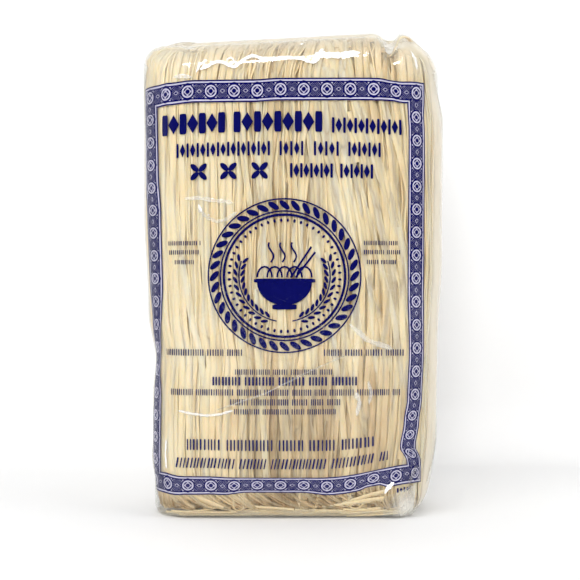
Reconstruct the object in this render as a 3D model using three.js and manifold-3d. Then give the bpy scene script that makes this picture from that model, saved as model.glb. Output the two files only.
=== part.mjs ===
// A clear film bag packed tight with dried flat rice noodles, standing on its end.
// Millimetres, +Z up, the printed front faces -Y, the origin is on the middle of the foot.
//
// The noodles are skeins bent to and fro, so their strands run up the walls and bend in over both ends.
// The film clings to them, so each strand shows as a rib. The bag is one closed piece: its walls, the flat
// heat-sealed fin that lies back over the top end, the corner flaps that are folded down on the sides like
// those of a parcel, and the lapped seam down the back.

import * as THREE from "three";
import { mergeVertices } from "three/addons/utils/BufferGeometryUtils.js";
import Module from "manifold-3d";

const wasm = await Module();
wasm.setup();

// ---- Driving dimensions --------------------------------------------------------------------------------

const WIDTH = 150; // across the front, at the widest
const DEPTH = 62; // front to back, at the belly
const SHOULDER_HEIGHT = 232; // where the top end turns flat, before it leans and crowns
const CROWN = 3; // how far the top end rises from its rim to its ridge

const STRAND_PITCH = 3.9; // a 3 mm noodle and its share of the gap beside it
const VALLEY = [0.5, 1.3]; // least and greatest depth of the film between two strands
const VALLEY_SEED = 7;

const BELLY = 4; // how far the front and the back swell past a flat block
const PLAN_RADIUS = 21; // the upright corners
const TOP_RADIUS = { front: 22, left: 9, right: 18 }; // the rounding into the top end
const FOOT_RADIUS = { front: 7, left: 5, right: 22 }; // the rounding into the foot

// Half widths left and right of the middle, each at a height: the packed skeins sag to the right.
const LEFT_HALF = [
  { z: 12, half: 66.3 },
  { z: 30, half: 67.8 },
  { z: 58, half: 67.6 },
  { z: 75, half: 66.3 },
  { z: 98, half: 69.9 },
  { z: 150, half: 72 },
];
const RIGHT_HALF = [
  { z: 5, half: 68.6 },
  { z: 45, half: 72.3 },
  { z: 80, half: 72.8 },
  { z: 125, half: 75 },
  { z: 185, half: 75.3 },
  { z: 213, half: 72.6 },
];

const TOP_LEAN = 0.052; // the top end climbs this much for each millimetre to the right
const SKEIN_GAP_X = 50; // the dip between the wide skein and the narrow one at the right
const SKEIN_GAP = { deep: 7.7, wide: 4.2, down: 34 };
const NARROW_SKEIN_DROP = 4.5; // how much lower the narrow skein stands

const FILM_FOLD = 0.7; // thickness of a folded flap, with the air that it holds
const FIN = { long: 14, thick: 1.2, root: 6, behind: 9, left: -62, right: 72 };
const FIN_LEAN = { flat: 1.44, raised: 0.87 }; // radians back from upright, where it lies and where it lifts
const FLAP = { half: 19, long: 34, tuck: 1.7 }; // half of a corner flap's root, its length, and its bend
const SEAM = { wide: 11, thick: 0.7, foot: 14 };
const EAR = { reach: 3.6, thick: 1.1, from: 2, to: 25 }; // the crumpled tuck at the lower right corner

// ---- Small helpers -------------------------------------------------------------------------------------

const clamp01 = (v) => Math.min(1, Math.max(0, v));
const ease = (from, to, v) => {
  const t = clamp01((v - from) / (to - from));
  return t * t * (3 - 2 * t);
};
const mix = (a, b, t) => a + (b - a) * t;
const bump = (v, middle, wide) => Math.exp(-(((v - middle) / wide) ** 2));

// A repeatable draw between 0 and 1.
function drawing(seed) {
  let state = seed;
  return () => {
    state = (state + 0x6d2b79f5) | 0;
    let t = Math.imul(state ^ (state >>> 15), 1 | state);
    t = (t + Math.imul(t ^ (t >>> 7), 61 | t)) ^ t;
    return ((t ^ (t >>> 14)) >>> 0) / 4294967296;
  };
}

// ---- The block as it would be if it were regular -------------------------------------------------------

const A = WIDTH / 2;
const B = DEPTH / 2 - BELLY;
const H = SHOULDER_HEIGHT;
const EDGE = A - PLAN_RADIUS; // half of the straight part of the front
const SIDE = B - PLAN_RADIUS; // half of the straight part of a side
const ARC = (Math.PI / 2) * PLAN_RADIUS;
const ROUND = 4 * EDGE + 4 * SIDE + 4 * ARC; // once round the block
const RIGHT_T = EDGE + ARC + SIDE; // the middle of the right side
const BACK_T = ROUND / 2;
const LEFT_T = ROUND - RIGHT_T;

// The point t millimetres round the outline, from the middle of the front towards +X, with the outline drawn
// in by inset, and the direction that faces out there.
function rim(t, inset) {
  const m = Math.max(PLAN_RADIUS, inset);
  const r = Math.max(PLAN_RADIUS - inset, 0);
  const along = ((t % ROUND) + ROUND) % ROUND;
  const upper = along > BACK_T; // the left half mirrors the right half
  const s = upper ? ROUND - along : along;
  const flip = upper ? -1 : 1;
  let x, y, nx, ny;
  if (s <= EDGE) {
    [x, y, nx, ny] = [(s / EDGE) * (A - m), -(B - inset), 0, -1];
  } else if (s <= EDGE + ARC) {
    const angle = -Math.PI / 2 + (s - EDGE) / PLAN_RADIUS;
    [nx, ny] = [Math.cos(angle), Math.sin(angle)];
    [x, y] = [A - m + r * nx, -(B - m) + r * ny];
  } else if (s <= EDGE + ARC + 2 * SIDE) {
    [x, y, nx, ny] = [A - inset, ((s - RIGHT_T) / SIDE) * (B - m), 1, 0];
  } else if (s <= EDGE + 2 * ARC + 2 * SIDE) {
    const angle = (s - EDGE - ARC - 2 * SIDE) / PLAN_RADIUS;
    [nx, ny] = [Math.cos(angle), Math.sin(angle)];
    [x, y] = [A - m + r * nx, B - m + r * ny];
  } else {
    [x, y, nx, ny] = [((BACK_T - s) / EDGE) * (A - m), B - inset, 0, 1];
  }
  return { x: x * flip, y, nx: nx * flip, ny };
}

// The radius of the rounding into an end, which differs between the front and back and each side.
const endRadius = (radius, nx, ny) =>
  ny * ny * radius.front + nx * nx * (nx < 0 ? radius.left : radius.right);

// A point of the upright profile: how far in from the wall, how high, and the direction that faces out.
function profile(t, row) {
  const { nx, ny } = rim(t, 0);
  const foot = endRadius(FOOT_RADIUS, nx, ny);
  const top = endRadius(TOP_RADIUS, nx, ny);
  const { part, at } = row;
  const sin = Math.sin((at * Math.PI) / 2);
  const cos = Math.cos((at * Math.PI) / 2);
  if (part === "foot") return { inset: foot * (1 - sin), z: foot * (1 - cos), out: sin, up: -cos };
  if (part === "wall") return { inset: 0, z: mix(foot, H - top, at), out: 1, up: 0 };
  if (part === "shoulder") return { inset: top * (1 - cos), z: H - top * (1 - sin), out: cos, up: sin };
  return { inset: mix(top, B, at), z: H + CROWN * (1 - (1 - at) ** 2), out: 0, up: 1 };
}

// ---- How the packed noodles settle ---------------------------------------------------------------------

// The half width at height z, eased from each height in the list to the next.
const halfWidth = (list, z) =>
  list.slice(1).reduce((half, to, i) => mix(half, to.half, ease(list[i].z, to.z, z)), list[0].half);

// How far the top end stands above its height in the middle: it climbs, then drops to the narrow skein.
const endRise = (x, run) =>
  TOP_LEAN * x - NARROW_SKEIN_DROP * ease(SKEIN_GAP_X - 6, SKEIN_GAP_X + run, x);

// Moves a point of the regular block to where it lies in the real, uneven one. The foot stays flat.
function settle(x, y, z) {
  const side = halfWidth(x < 0 ? LEFT_HALF : RIGHT_HALF, z);
  const high = ease(0.5 * H, H, z);
  const gap = bump(x, SKEIN_GAP_X, SKEIN_GAP.wide) * ease(H - SKEIN_GAP.down, H, z);
  const standing = Math.sin(Math.PI * clamp01(z / (H + CROWN))) ** 0.55;
  const swell = BELLY * (1 - (x / A) ** 2) * standing;
  const waves = 0.7 * Math.sin(0.05 * x + 0.021 * z + 0.8) + 0.6 * Math.sin(0.028 * z - 0.034 * x);
  const lump = waves * standing;
  const depth = y / B;
  return [
    x * (side / A),
    y + depth * (swell + (depth < 0 ? lump : -0.6 * lump) - 3.2 * gap),
    z + high * endRise(x, 12) - SKEIN_GAP.deep * gap,
  ];
}

// A point on the surface at t round the block and row up it, raised by lift, negative to sink it.
function surface(t, row, lift) {
  const p = profile(t, row);
  const { x, y } = rim(t, p.inset - lift * p.out);
  return settle(x, y, Math.max(0, p.z + lift * p.up));
}

// ---- The walls, ribbed by the strands ------------------------------------------------------------------

const rows = [
  { part: "foot", at: 0, fade: 0.6 },
  ...[0.33, 0.66, 1].map((at) => ({ part: "foot", at })),
  ...[0.2, 0.4, 0.6, 0.8].map((at) => ({ part: "wall", at })),
  ...[0, 0.25, 0.5, 0.75, 1].map((at) => ({ part: "shoulder", at })),
  { part: "end", at: 0.5, fade: 0.6 },
  { part: "end", at: 1, fade: 0 },
];

function walls() {
  const ribs = 4 * Math.round(ROUND / STRAND_PITCH / 4);
  const lines = 2 * ribs;
  const draw = drawing(VALLEY_SEED);
  const valleys = Array.from({ length: ribs }, () => mix(VALLEY[0], VALLEY[1], draw()));
  const points = [];
  rows.forEach((row, i) => {
    const fade = row.fade ?? 1;
    for (let k = 0; k < lines; k++) {
      const wander = (row.part === "wall" ? 1.1 : 0.4) * Math.sin(0.4 * i + 0.11 * k);
      const t = (k / lines) * ROUND + (row.part === "end" ? 0 : wander * fade);
      const sunk = k % 2 ? valleys[(k - 1) / 2] * fade : 0;
      points.push(surface(t, row, -sunk));
    }
  });
  // The ridge is one line of points, shared by the strands that meet there from the front and the back.
  const last = rows.length - 1;
  for (let k = 0; k < lines; k++) {
    const other = (lines / 2 - k + lines) % lines;
    if (other > k) {
      const a = last * lines + k;
      const b = last * lines + other;
      const middle = points[a].map((v, axis) => (v + points[b][axis]) / 2);
      points[a] = points[b] = middle;
    }
  }
  const faces = [];
  for (let i = 0; i < last; i++) {
    for (let k = 0; k < lines; k++) {
      const a = i * lines + k;
      const b = i * lines + ((k + 1) % lines);
      faces.push([a, b, b + lines], [a, b + lines, a + lines]);
    }
  }
  faces.push(...foot(lines));
  return closed(points, faces);
}

// The foot: one broad, flat triangle across it that holds the origin, and a fan of triangles on each side.
function foot(lines) {
  const nearest = (t) => 2 * Math.round(((t / ROUND) * lines) / 2);
  const [right, back, left] = [EDGE + ARC / 2, BACK_T, ROUND - EDGE - ARC / 2].map(nearest);
  const faces = [[left, back, right]];
  const fan = (apex, from, to) => {
    for (let k = from; k < to; k++) faces.push([apex, (k + 1) % lines, k % lines]);
  };
  fan(left, left + 1, right + lines);
  fan(right, right + 1, back);
  fan(left, back, left - 1);
  return faces;
}

// ---- Folds of loose film -------------------------------------------------------------------------------

// A thin closed piece between two sheets of points, each given by a function of u and v from 0 to 1.
function slab(across, up, outer, inner) {
  const points = [];
  for (const sheet of [outer, inner]) {
    for (let j = 0; j <= up; j++) for (let i = 0; i <= across; i++) points.push(sheet(i / across, j / up));
  }
  const size = (across + 1) * (up + 1);
  const at = (i, j, side) => side * size + j * (across + 1) + i;
  const faces = [];
  const quad = (a, b, c, d) => faces.push([a, b, c], [a, c, d]);
  for (let j = 0; j < up; j++) {
    for (let i = 0; i < across; i++) {
      quad(at(i, j, 0), at(i + 1, j, 0), at(i + 1, j + 1, 0), at(i, j + 1, 0));
      quad(at(i, j, 1), at(i, j + 1, 1), at(i + 1, j + 1, 1), at(i + 1, j, 1));
    }
    quad(at(0, j, 0), at(0, j + 1, 0), at(0, j + 1, 1), at(0, j, 1));
    quad(at(across, j, 0), at(across, j, 1), at(across, j + 1, 1), at(across, j + 1, 0));
  }
  for (let i = 0; i < across; i++) {
    quad(at(i, 0, 0), at(i, 0, 1), at(i + 1, 0, 1), at(i + 1, 0, 0));
    quad(at(i, up, 0), at(i + 1, up, 0), at(i + 1, up, 1), at(i, up, 1));
  }
  return closed(points, faces);
}

// The heat-sealed end of the bag, a fin that leans back over the top end and lifts where the skeins part.
function fin() {
  const sheet = (side) => (u, v) => {
    const x = mix(FIN.left, FIN.right, u);
    const lean = mix(FIN_LEAN.flat, FIN_LEAN.raised, bump(x, SKEIN_GAP_X, 34));
    const reach = v * (FIN.long + 0.6 * Math.sin(14 * u)) - FIN.root * (1 - v);
    const ridge = H + CROWN + endRise(x, 22);
    const y = FIN.behind + reach * Math.sin(lean) + 0.9 * v * Math.sin(23 * u);
    const z = ridge + reach * Math.cos(lean) - 0.6;
    const half = side * (FIN.thick / 2);
    return [x, y - half * Math.cos(lean), z + half * Math.sin(lean)];
  };
  return slab(28, 3, sheet(1), sheet(-1));
}

// A corner of the bag folded flat on a side: a triangle with its root along an end, pointing to the middle.
function flap(middle, upper) {
  const sheet = (lift) => (u, v) => {
    const reach = upper ? 1 - v : v;
    const half = FLAP.half * mix(1, 0.08, reach);
    const t = middle + (2 * u - 1) * half;
    const { nx, ny } = rim(t, 0);
    const rounding = endRadius(upper ? TOP_RADIUS : FOOT_RADIUS, nx, ny);
    const root = rounding - FLAP.tuck;
    const z = upper ? H - root - reach * FLAP.long : root + reach * FLAP.long;
    const { x, y } = rim(t, -lift);
    return settle(x, y, z);
  };
  return slab(8, 5, sheet(FILM_FOLD), sheet(-2.6));
}

// The lapped seam that closes the tube of film down the middle of the back.
function seam() {
  const sheet = (lift) => (u, v) => {
    const t = BACK_T + (0.5 - u) * -SEAM.wide + 0.8 * Math.sin(7 * v);
    const { x, y } = rim(t, -lift);
    return settle(x, y, mix(SEAM.foot, H - TOP_RADIUS.front, v));
  };
  return slab(4, 10, sheet(SEAM.thick), sheet(-2.6));
}

// The gusset's tip, a crumpled tuck that stands off the wall at the lower right corner.
function ear() {
  const sheet = (side) => (u, v) => {
    const up = mix(EAR.from, EAR.to, u);
    const reach = EAR.reach * Math.sin(Math.PI * mix(0.12, 0.94, u)) ** 0.7;
    const t = EDGE + ARC * (0.24 + 0.14 * Math.sin(9 * u)) + side * (EAR.thick / 2);
    const inset = endRadius(FOOT_RADIUS, rim(t, 0).nx, rim(t, 0).ny);
    const drop = clamp01(1 - up / inset);
    const { x, y } = rim(t, inset * (1 - Math.sqrt(1 - drop * drop)) - mix(-3, reach, v));
    return settle(x, y, up + 0.8 * v * Math.sin(17 * u));
  };
  return slab(9, 2, sheet(1), sheet(-1));
}

// ---- From points to a closed piece and back ------------------------------------------------------------

function closed(points, faces) {
  const geometry = new THREE.BufferGeometry();
  geometry.setAttribute("position", new THREE.Float32BufferAttribute(points.flat(), 3));
  geometry.setIndex(faces.flat());
  const merged = mergeVertices(geometry, 1e-4);
  const corners = merged.index.array;
  const kept = [];
  for (let i = 0; i < corners.length; i += 3) {
    const [a, b, c] = corners.slice(i, i + 3);
    if (a !== b && b !== c && a !== c) kept.push(a, b, c);
  }
  return new wasm.Manifold(
    new wasm.Mesh({
      numProp: 3,
      vertProperties: merged.attributes.position.array,
      triVerts: new Uint32Array(kept),
    }),
  );
}

function geometryOf(solid) {
  const { vertProperties, triVerts } = solid.getMesh();
  const geometry = new THREE.BufferGeometry();
  geometry.setAttribute("position", new THREE.BufferAttribute(vertProperties, 3));
  geometry.setIndex(new THREE.BufferAttribute(triVerts, 1));
  const flat = geometry.toNonIndexed();
  flat.computeVertexNormals();
  return flat;
}

// ---- The bag -------------------------------------------------------------------------------------------

const flaps = [flap(RIGHT_T, true), flap(LEFT_T, true), flap(RIGHT_T, false), flap(LEFT_T, false)];
const joined = [fin(), ...flaps, seam(), ear()].reduce((whole, fold) => whole.add(fold), walls());
const solid = joined.asOriginal().simplify(0.03); // clears the slivers where the folds meet the walls

const noodleCream = new THREE.MeshStandardMaterial({ color: 0xe2d3ab, roughness: 0.35, metalness: 0 });
const bag = new THREE.Mesh(geometryOf(solid), noodleCream);
bag.name = "noodle_bag";

// The origin goes under the middle of the whole piece, folds included.
bag.geometry.computeBoundingBox();
const middle = bag.geometry.boundingBox.getCenter(new THREE.Vector3());
bag.geometry.translate(-middle.x, -middle.y, 0);

const group = new THREE.Group();
group.add(bag);

export default group;
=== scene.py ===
import math

import bmesh
import bpy
import numpy as np
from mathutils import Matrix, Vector, noise


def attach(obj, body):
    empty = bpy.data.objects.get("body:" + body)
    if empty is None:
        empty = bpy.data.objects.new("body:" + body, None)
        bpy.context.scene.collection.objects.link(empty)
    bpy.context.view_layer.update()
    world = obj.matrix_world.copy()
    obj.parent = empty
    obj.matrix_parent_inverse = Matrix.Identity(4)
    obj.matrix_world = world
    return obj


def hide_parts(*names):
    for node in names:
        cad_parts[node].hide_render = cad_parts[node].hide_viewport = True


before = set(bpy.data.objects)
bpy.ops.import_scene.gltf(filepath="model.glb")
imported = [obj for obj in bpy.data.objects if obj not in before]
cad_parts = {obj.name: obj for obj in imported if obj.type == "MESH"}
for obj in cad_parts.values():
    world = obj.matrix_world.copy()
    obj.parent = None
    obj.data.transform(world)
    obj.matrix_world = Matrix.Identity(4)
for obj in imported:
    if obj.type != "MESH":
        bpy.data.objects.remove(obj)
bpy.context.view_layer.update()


# ---- The noodles' own shape ----------------------------------------------------------------------------
# Soft rice ribbons are folded to and fro into skeins, dried, and packed tight, so together they make a
# slightly sagging block: its strands run up the walls and bend in over both ends. Millimetres throughout.

WIDTH, DEPTH, BELLY = 150.0, 62.0, 4.0
SHOULDER, CROWN = 232.0, 3.0  # height of the top end at its rim, and its rise from there to the ridge
CORNER = 21.0  # radius of the upright corners
FACE_FOOT, LEFT_FOOT, RIGHT_FOOT = 7.0, 5.0, 22.0  # radii of the rounding at the foot, by side
FACE_TOP, LEFT_TOP, RIGHT_TOP = 22.0, 9.0, 18.0  # and at the top end
CLIMB, STEP_DOWN = 0.052, 4.5  # the top end climbs to the right, then drops to the narrow skein
QUARTER = math.pi / 2
HALF, DEEP = WIDTH / 2, DEPTH / 2 - BELLY
FLAT, SIDE, ARC = HALF - CORNER, DEEP - CORNER, QUARTER * CORNER
AROUND = 4 * (FLAT + SIDE + ARC)
RIGHT, BACK = FLAT + ARC + SIDE, AROUND / 2
# Height, and half the width there, left and right of the middle.
LEFT_EDGE = ((12, 66.3), (30, 67.8), (58, 67.6), (75, 66.3), (98, 69.9), (150, 72.0))
RIGHT_EDGE = ((5, 68.6), (45, 72.3), (80, 72.8), (125, 75.0), (185, 75.3), (213, 72.6))
SKEINS_PART = 50.0  # where the wide skein and the narrow one meet, right of the middle
DIP_WIDE, DIP_IN, DIP_DOWN = 4.2, 3.2, 7.7  # the dip between them
WHOLE_MIDDLE = np.array([1.664, 0.342, 0.0])  # from the skeins' middle to that of the whole pack


def ease(low, high, v):
    """From 0 at low to 1 at high, smoothly."""
    share = np.clip((v - low) / (high - low), 0, 1)
    return share * share * (3 - 2 * share)


def mound(v, middle, spread):
    return np.exp(-(((v - middle) / spread) ** 2))


def up_along(knots, z):
    """The value at z, a height or a distance, eased from each (z, value) to the next."""
    value = knots[0][1]
    for (low, _), (high, to) in zip(knots, knots[1:]):
        value = value + (to - value) * ease(low, high, z)
    return value


def end_rise(x, run=12.0):
    """How much higher the top end is at x than in the middle."""
    return CLIMB * x - STEP_DOWN * ease(SKEINS_PART - 6, SKEINS_PART + run, x)


def facing(t):
    """At t mm round the block from mid-front: the way out (x, y), its twin on the right, and its side."""
    t = np.mod(t, AROUND)
    side = np.where(t > BACK, -1.0, 1.0)
    twin = np.where(t > BACK, AROUND - t, t)
    turn = np.clip((twin - FLAT) / CORNER, 0, QUARTER)
    turn = turn + np.clip((twin - BACK + FLAT + ARC) / CORNER, 0, QUARTER)
    return side * np.sin(turn), -np.cos(turn), twin, side


def stretches(t):
    """The radius at the foot and at the top, t mm round, and the skin's lengths: under the foot, round the
    foot, up the wall, round the top, and in to the ridge."""
    nx, ny, _, _ = facing(t)
    foot = FACE_FOOT * ny**2 + np.where(nx < 0, LEFT_FOOT, RIGHT_FOOT) * nx**2
    top = FACE_TOP * ny**2 + np.where(nx < 0, LEFT_TOP, RIGHT_TOP) * nx**2
    return foot, top, (DEEP - foot, foot * QUARTER, SHOULDER - top - foot, top * QUARTER, DEEP - top)


def up_skin(t, level):
    """How far up the skin at t the regular block is level mm high."""
    foot, top, (_, _, wall, _, _) = stretches(t)
    s = foot * np.arccos(np.clip(1 - level / foot, 0, 1)) + np.clip(level - foot, 0, wall)
    return s + top * np.arcsin(np.clip((level - foot - wall) / top, 0, 1))


def packed(t, s, deep=0.0, parting=1.0):
    """The point s mm up the skin from the foot's rim, deep mm below it, and the way out there."""
    t, s, deep = np.broadcast_arrays(np.asarray(t, float), np.asarray(s, float), np.asarray(deep, float))
    nx, ny, twin, flip = facing(t)
    foot, top, (_, round_foot, wall, round_top, inward) = stretches(t)
    whole = round_foot + wall + round_top + inward
    past = s > whole  # over the ridge and down the other face
    s = np.where(past, 2 * whole - s, s)
    low = np.clip(s / round_foot, 0, 1) * QUARTER
    high = np.clip((s - round_foot - wall) / round_top, 0, 1) * QUARTER
    last = np.clip((s - round_foot - wall - round_top) / inward, 0, 1)
    inset = foot * (1 - np.sin(low)) ** 1.5 + np.clip(-s, 0, DEEP - foot)
    inset = inset + top * (1 - np.cos(high)) + inward * last
    z = foot * (1 - np.cos(low)) + np.clip(s - round_foot, 0, wall) + top * np.sin(high)
    z = z + CROWN * (1 - (1 - last) ** 2)
    out, up = np.sin(low) * np.cos(high), np.sin(high) - np.cos(low)
    inset, z = inset + deep * out, np.maximum(z - deep * up, 0.0)
    middle, radius = np.maximum(CORNER, inset), np.maximum(CORNER - inset, 0)
    x = np.minimum(np.clip(twin / FLAT, 0, 1), np.clip((BACK - twin) / FLAT, 0, 1)) * (HALF - middle) * flip
    x = x + radius * nx
    y = (DEEP - middle) * np.clip((twin - RIGHT) / SIDE, -1, 1) + radius * ny
    y, ny = np.where(past, -y, y), np.where(past, -ny, ny)
    # The block as it settled: narrower at the left foot, swollen in front and behind, dipped between skeins.
    side = np.where(x < 0, up_along(LEFT_EDGE, z), up_along(RIGHT_EDGE, z))
    dip = parting * mound(x, SKEINS_PART, DIP_WIDE) * ease(SHOULDER - 34, SHOULDER, z)
    standing = np.sin(math.pi * np.clip(z / (SHOULDER + CROWN), 0, 1)) ** 0.55
    swell = BELLY * (1 - (x / HALF) ** 2) * standing
    lump = (0.7 * np.sin(0.05 * x + 0.021 * z + 0.8) + 0.6 * np.sin(0.028 * z - 0.034 * x)) * standing
    share = y / DEEP
    y = y + share * (swell + np.where(share < 0, lump, -0.6 * lump) - DIP_IN * dip)
    z = z + ease(SHOULDER / 2, SHOULDER, z) * end_rise(x) - DIP_DOWN * dip
    point = np.stack([x * side / HALF, y, z], -1) - WHOLE_MIDDLE
    return point, np.stack([nx * out, ny * out, up], -1)


def solid_mesh(name, points, faces, material, smooth=True):
    """A mesh object in place, from points in millimetres."""
    mesh = bpy.data.meshes.new(name)
    mesh.from_pydata((np.asarray(points) * 0.001).tolist(), [], [list(map(int, f)) for f in faces])
    mesh.validate()
    mesh.polygons.foreach_set("use_smooth", [smooth] * len(mesh.polygons))
    mesh.materials.append(material)
    piece = bpy.data.objects.new(name, mesh)
    bpy.context.scene.collection.objects.link(piece)
    return piece


# ---- How a finish is written ---------------------------------------------------------------------------
# Each material is a small tree of nodes, written as sums of its sockets.


class Wire:
    """A socket of a material's tree."""

    def __init__(self, paint, socket):
        self.paint, self.socket = paint, socket

    def sum(self, operation, *values):
        return self.paint.add("ShaderNodeMath", {"operation": operation}, *values)[0]

    def __add__(self, other):
        return self.sum("ADD", self, other)

    def __radd__(self, other):
        return self.sum("ADD", other, self)

    def __sub__(self, other):
        return self.sum("SUBTRACT", self, other)

    def __rsub__(self, other):
        return self.sum("SUBTRACT", other, self)

    def __mul__(self, other):
        return self.sum("MULTIPLY", self, other)

    def __rmul__(self, other):
        return self.sum("MULTIPLY", other, self)

    def between(self, low, high):
        return self.sum("MINIMUM", self.sum("MAXIMUM", self, low), high)


class Paint:
    """A material while its tree is built."""

    def __init__(self, name):
        self.material = bpy.data.materials.new(name)
        self.material.use_nodes = True
        self.tree = self.material.node_tree
        self.tree.nodes.clear()
        self.end = self.tree.nodes.new("ShaderNodeOutputMaterial")

    def add(self, kind, settings, *values, **named):
        """Adds a node: its settings first, then the values or wires of its sockets, by order or by name."""
        node = self.tree.nodes.new(kind)
        for key, setting in settings.items():
            if key == "stops":
                ramp = node.color_ramp
                while len(ramp.elements) < len(setting):
                    ramp.elements.new(0.5)
                for element, (place, colour) in zip(ramp.elements, setting):
                    element.position, element.color = place, (*colour, 1.0)
            else:
                setattr(node, key, setting)
        for key, value in [*enumerate(values), *named.items()]:
            socket = node.inputs[key if isinstance(key, int) else key.replace("_", " ")]
            if isinstance(value, Wire):
                self.tree.links.new(value.socket, socket)
            elif value is not None:
                socket.default_value = value
        return [Wire(self, out) for out in node.outputs]

    def blend(self, share, a, b):
        """Colour a where share is 0, colour b where it is 1."""
        a, b = (c if isinstance(c, Wire) else (*c, 1.0) for c in (a, b))
        node = ("ShaderNodeMix", {"data_type": "RGBA"})
        return self.add(*node, share, None, None, None, None, None, a, b)[2]

    def finish(self, shader):
        self.tree.links.new(shader.socket, self.end.inputs["Surface"])
        return self.material


OBJECT = 3  # which output of Texture Coordinate has a piece's own coordinates


def dried_noodle():
    """Pale cream, satin, warmer where the paste is thicker, finely drawn along its length; browner as painted
    shade.
    """
    p = Paint("dried_noodle")
    place = p.add("ShaderNodeTexCoord", {})[OBJECT]
    # The tone differs at random from strand to strand, and is also painted light: lowered as painted shade
    # where strands lie in shade, raised where light falls.
    tone = p.add("ShaderNodeAttribute", {"attribute_name": "tone"})[2]
    along = p.add("ShaderNodeMapping", {}, place, Scale=(1100.0, 1100.0, 90.0))[0]
    drawn = p.add("ShaderNodeTexNoise", {}, Vector=along, Scale=1.0, Detail=2.0)[0]
    cloud = p.add("ShaderNodeTexNoise", {}, Vector=place, Scale=55.0, Detail=3.0)[0]
    value = (tone * 0.86 + (drawn - 0.5) * 0.35 + (cloud - 0.5) * 0.45 + 0.06).between(0.0, 1.0)
    cream = [
        (0.0, (0.27, 0.18, 0.09)),
        (0.3, (0.56, 0.425, 0.255)),
        (0.62, (0.73, 0.585, 0.37)),
        (1.0, (0.745, 0.665, 0.50)),
    ]
    colour = p.add("ShaderNodeValToRGB", {"stops": cream}, value)[0]
    bump = p.add("ShaderNodeBump", {}, Height=drawn + cloud * 0.5, Strength=0.25, Distance=0.0003)[0]
    shader = p.add(
        "ShaderNodeBsdfPrincipled",
        {},
        Base_Color=colour,
        Roughness=(0.44 + drawn * 0.2),
        Normal=bump,
        Specular_IOR_Level=0.35,
        Subsurface_Weight=0.45,
        Subsurface_Radius=(1.0, 0.72, 0.4),
        Subsurface_Scale=0.002,
    )[0]
    return p.finish(shader)


noodle = dried_noodle()


# ---- The heart of the skeins ---------------------------------------------------------------------------
# Behind the outer strands the pack is noodles all through. This is that tangle as one ribbed body, darker
# because little light gets in, and it shows only in the gaps.


def merge(piece, gap):
    """Joins points closer than gap metres, closes what is left open, and turns every face outwards."""
    work = bmesh.new()
    work.from_mesh(piece.data)
    bmesh.ops.remove_doubles(work, verts=work.verts, dist=gap)
    bmesh.ops.holes_fill(work, edges=[e for e in work.edges if e.is_boundary], sides=0)
    bmesh.ops.recalc_face_normals(work, faces=work.faces)
    if work.calc_volume(signed=True) < 0:
        bmesh.ops.reverse_faces(work, faces=work.faces)
    work.to_mesh(piece.data)
    work.free()
    piece.data.update()


def mark(piece, name, values):
    """Keeps a value for each point of a piece, which its finish reads by name."""
    piece.data.attributes.new(name, "FLOAT", "POINT").data.foreach_set("value", np.ravel(values))


def in_the_bag(piece):
    """Every piece rides with the one solid and is seen in its place."""
    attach(piece, "root")
    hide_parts("noodle_bag")
    return piece


def tube_faces(rows, columns):
    """The faces of a grid of points whose rows run all the way round."""
    faces = []
    for i in range(rows - 1):
        for j in range(columns):
            a, b = i * columns + j, i * columns + (j + 1) % columns
            faces.append((a, b, b + columns, a + columns))
    return faces


HEART_DEEP = 3.8  # below the skin
HEART_FOOT = 2.2  # above the floor


def heart():
    columns, rows = 300, 60
    t = np.arange(columns) / columns * AROUND
    level = np.linspace(0, 1, rows)
    _, _, parts = stretches(t)
    under, whole = parts[0], sum(parts[1:])
    s = -under[None, :] + level[:, None] * (under + whole)[None, :]
    ribs = 0.55 * np.sin(t * 2 * math.pi / 3.1 + 1.3 * np.sin(s / 31))
    deep = HEART_DEEP + ribs * ease(0, 12, s + under) * ease(0, 12, whole - s)
    point, _ = packed(t[None, :], s, deep)
    points = point.reshape(-1, 3)
    points[:, 2] = np.maximum(points[:, 2], HEART_FOOT)
    body = solid_mesh("noodle_heart", points, tube_faces(rows, columns), noodle)
    # Painted shade: darker towards the foot.
    mark(body, "tone", 0.5 - 0.5 * ease(20, 8, points[:, 2]) * ease(2, 5, points[:, 2]))
    merge(body, 0.00005)
    return body


in_the_bag(heart())


# ---- The strands ---------------------------------------------------------------------------------------
# Each noodle is a flat ribbon 3 mm wide and 0.8 mm thick. Three layers of them are laid over the heart. They
# lie flat at the left, stand mostly on edge and stray in the middle, and lean to the right beyond it.

RIBBON_WIDE, RIBBON_THICK = 3.0, 0.8
CLEAR = 0.75  # film, print and the film's dips between strands all lie above this depth
TURNING = 24.0  # below this height the outermost strands of the front turn aside
STEP, FINE_STEP = 6.6, 1.7  # between the points of a strand's path, and where it turns
MIDDLE_HEIGHT = 115.0
PAST_FACE, PAST_SIDE = 22.0, 13.0  # how far round the corners the strands of a face and of a side go
CROSSING_FRONT, CROSSING_BACK = 46, 18  # strands that cross the others
CUT = 0.35  # the share of these that end in a cut
draw = np.random.default_rng(31)


def sway(s, size, length):
    """A slow random bend along s."""
    phase = draw.uniform(0, 2 * math.pi, 3)
    waves = [np.sin(2 * math.pi * s / (length * k) + p) / k**0.3 for k, p in zip((1.0, 0.57, 0.31), phase)]
    return size * (waves[0] + 0.5 * waves[1] + 0.22 * waves[2])


def habit(x):
    """How the noodles lie at x: the share that lie flat, how far they stray, and how pale they are."""
    left, right = ease(-18, -40, x), ease(14, 46, x)
    middle = 1 - left - right
    flat = 0.66 * left + 0.2 * middle + 0.55 * right
    loose = 0.45 * left + 1.4 * middle + 0.9 * right
    return flat, loose, 0.17 * left - 0.03 * middle - 0.06 * right


def across(roll):
    """How much room a ribbon takes up when it is turned by roll."""
    return 0.86 * RIBBON_WIDE * abs(math.cos(roll)) + RIBBON_THICK * abs(math.sin(roll)) + 0.08


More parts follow.
